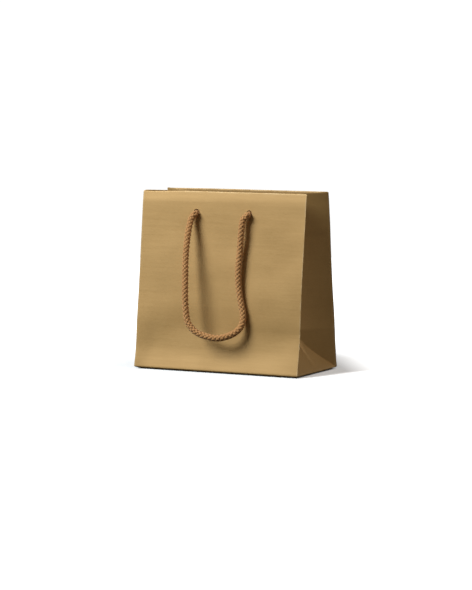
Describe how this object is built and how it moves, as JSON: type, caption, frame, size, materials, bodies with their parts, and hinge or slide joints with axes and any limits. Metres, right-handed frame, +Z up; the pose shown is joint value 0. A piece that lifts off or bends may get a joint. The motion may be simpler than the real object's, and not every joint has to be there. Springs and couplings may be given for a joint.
{
  "type": "gift bag",
  "caption": "Open-topped folded paper gift bag with tucked side gussets, a stiffened rim and two knotted braided rope handles that swing.",
  "frame": {"origin": "middle of the footprint, on the surface that the bag stands on", "axes": "+Z up, +X along the width of the front panel to the right as seen from the front, the front panel faces -Y"},
  "size_m": [0.2, 0.134, 0.196],
  "materials": {
    "gold_paper": "satin",
    "kraft_inside": "matte",
    "greyboard": "matte",
    "tan_rope": "matte"
  },
  "bodies": {
    "bag": {"front_panel": "gold_paper", "back_panel": "gold_paper", "left_gusset_front_half": "gold_paper", "left_gusset_rear_half": "gold_paper", "left_gusset_foot": "gold_paper", "left_foot_front_pleat": "gold_paper", "left_foot_rear_pleat": "gold_paper", "right_gusset_front_half": "gold_paper", "right_gusset_rear_half": "gold_paper", "right_gusset_foot": "gold_paper", "right_foot_front_pleat": "gold_paper", "right_foot_rear_pleat": "gold_paper", "side_seam_tab": "kraft_inside", "front_turn_top": "gold_paper", "back_turn_top": "gold_paper", "left_gusset_turn_top": "gold_paper", "right_gusset_turn_top": "gold_paper", "front_top_card": "greyboard", "back_top_card": "greyboard", "base_flap_front": "gold_paper", "base_flap_rear": "gold_paper", "base_flap_left": "gold_paper", "base_flap_right": "gold_paper", "base_card": "greyboard", "front_left_knot": "tan_rope", "front_right_knot": "tan_rope", "back_left_knot": "tan_rope", "back_right_knot": "tan_rope"},
    "front_handle": {"front_handle_rope": "tan_rope"},
    "back_handle": {"back_handle_rope": "tan_rope"}
  },
  "joints": [
    {"name": "front_handle_swing", "type": "hinge", "parent": "bag", "child": "front_handle", "pos_m": [0, -0.03449, 0.172], "axis": [-1, 0, 0], "range_deg": [0, 155]},
    {"name": "back_handle_swing", "type": "hinge", "parent": "bag", "child": "back_handle", "pos_m": [0, 0.03449, 0.172], "axis": [1, 0, 0], "range_deg": [0, 155]}
  ]
}
